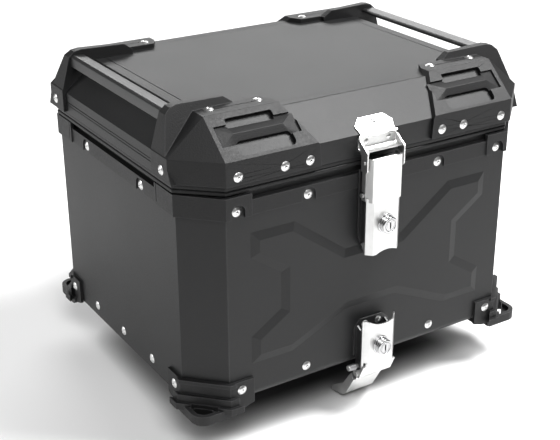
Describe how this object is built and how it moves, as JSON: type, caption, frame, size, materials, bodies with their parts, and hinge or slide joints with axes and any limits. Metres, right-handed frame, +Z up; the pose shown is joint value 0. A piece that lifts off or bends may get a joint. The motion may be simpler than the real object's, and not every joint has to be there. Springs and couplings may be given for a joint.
{
  "type": "motorcycle top case",
  "caption": "Black aluminium motorcycle top case with hipped hinged lid, corner protectors, side rails, over-centre lock latch and quick-release rack hook.",
  "frame": {"origin": "middle of the object's footprint at the height of its lowest point, the tip of the hanging rack hook", "axes": "+X to the right seen from the latch side, along the long side; +Y from the latch side to the hinge side; +Z up"},
  "size_m": [0.452, 0.4031, 0.3742],
  "materials": {
    "powder_black": "fine textured black powder coat on aluminium sheet",
    "black_plastic": "grained black glass-filled nylon",
    "rail_black": "satin black coated extrusion",
    "stainless": "polished pressed stainless steel",
    "rivet_steel": "bright domed rivet heads",
    "lock_chrome": "bright chrome",
    "black_steel": "satin black coated steel",
    "seal_rubber": "matt black rubber",
    "spring_steel": "drawn spring wire"
  },
  "bodies": {
    "body": {"body_wrap": "powder_black", "side_panel_left": "powder_black", "side_panel_right": "powder_black", "body_rim": "black_plastic", "rim_seal": "seal_rubber", "foot_front_left": "black_plastic", "foot_front_right": "black_plastic", "foot_rear_left": "black_plastic", "foot_rear_right": "black_plastic", "rim_rivets": "rivet_steel", "bottom_rivets": "rivet_steel", "floor_rivets": "rivet_steel", "foot_rivets": "rivet_steel", "hinge_leaf_body": "black_steel", "hinge_pin": "stainless", "hinge_rivets_body": "rivet_steel", "latch_base": "black_steel", "latch_keeper_pins": "stainless", "latch_backing_plate": "black_steel", "latch_base_rivets": "rivet_steel", "release_base": "black_steel", "release_pins": "stainless", "release_backing_plate": "black_steel", "release_base_rivets": "rivet_steel", "release_spring": "spring_steel", "rear_claws": "black_steel", "claw_rivets": "rivet_steel"},
    "lid": {"lid_shell": "powder_black", "lid_rim": "black_plastic", "protector_front_left": "black_plastic", "protector_front_right": "black_plastic", "protector_rear_left": "black_plastic", "protector_rear_right": "black_plastic", "protector_rivets_top": "rivet_steel", "protector_rivets_front": "rivet_steel", "protector_rivets_rear": "rivet_steel", "protector_rivets_side": "rivet_steel", "side_rail_left": "rail_black", "side_rail_right": "rail_black", "hinge_leaf_lid": "black_steel", "hinge_rivets_lid": "rivet_steel", "latch_catch": "stainless", "catch_rivets": "rivet_steel", "latch_lever_pin": "stainless"},
    "latch_lever": {"latch_lever": "stainless", "latch_lock_housing": "lock_chrome"},
    "latch_key": {"latch_key_plug": "lock_chrome"},
    "release_lever": {"release_lever": "stainless", "release_lock_housing": "lock_chrome"},
    "release_key": {"release_key_plug": "lock_chrome"},
    "release_hook": {"release_hook": "stainless"}
  },
  "joints": [
    {"name": "lid_hinge", "type": "hinge", "parent": "body", "child": "lid", "pos_m": [0, 0.19695, 0.294], "axis": [-1, 0, 0], "range_deg": [0, 95]},
    {"name": "top_latch_hinge", "type": "hinge", "parent": "lid", "child": "latch_lever", "pos_m": [0, -0.18455, 0.3005], "axis": [-1, 0, 0], "range_deg": [0, 110]},
    {"name": "top_lock_turn", "type": "hinge", "parent": "latch_lever", "child": "latch_key", "pos_m": [0, -0.19305, 0.2318], "axis": [0, -1, 0], "range_deg": [0, 90]},
    {"name": "release_lever_hinge", "type": "hinge", "parent": "body", "child": "release_lever", "pos_m": [0, -0.17805, 0.0475], "axis": [1, 0, 0], "range_deg": [0, 42], "stiffness_Nm_per_rad": 0.05, "springref_deg": -34.38},
    {"name": "release_hook_hinge", "type": "hinge", "parent": "body", "child": "release_hook", "pos_m": [0, -0.17705, 0.057], "axis": [1, 0, 0], "range_deg": [-16.8, 0]},
    {"name": "release_lock_turn", "type": "hinge", "parent": "release_lever", "child": "release_key", "pos_m": [0, -0.19305, 0.0855], "axis": [0, -1, 0], "range_deg": [0, 90]}
  ],
  "couplings": [
    {"joint": "release_hook_hinge", "follows": "release_lever_hinge", "ratio": -0.4}
  ]
}
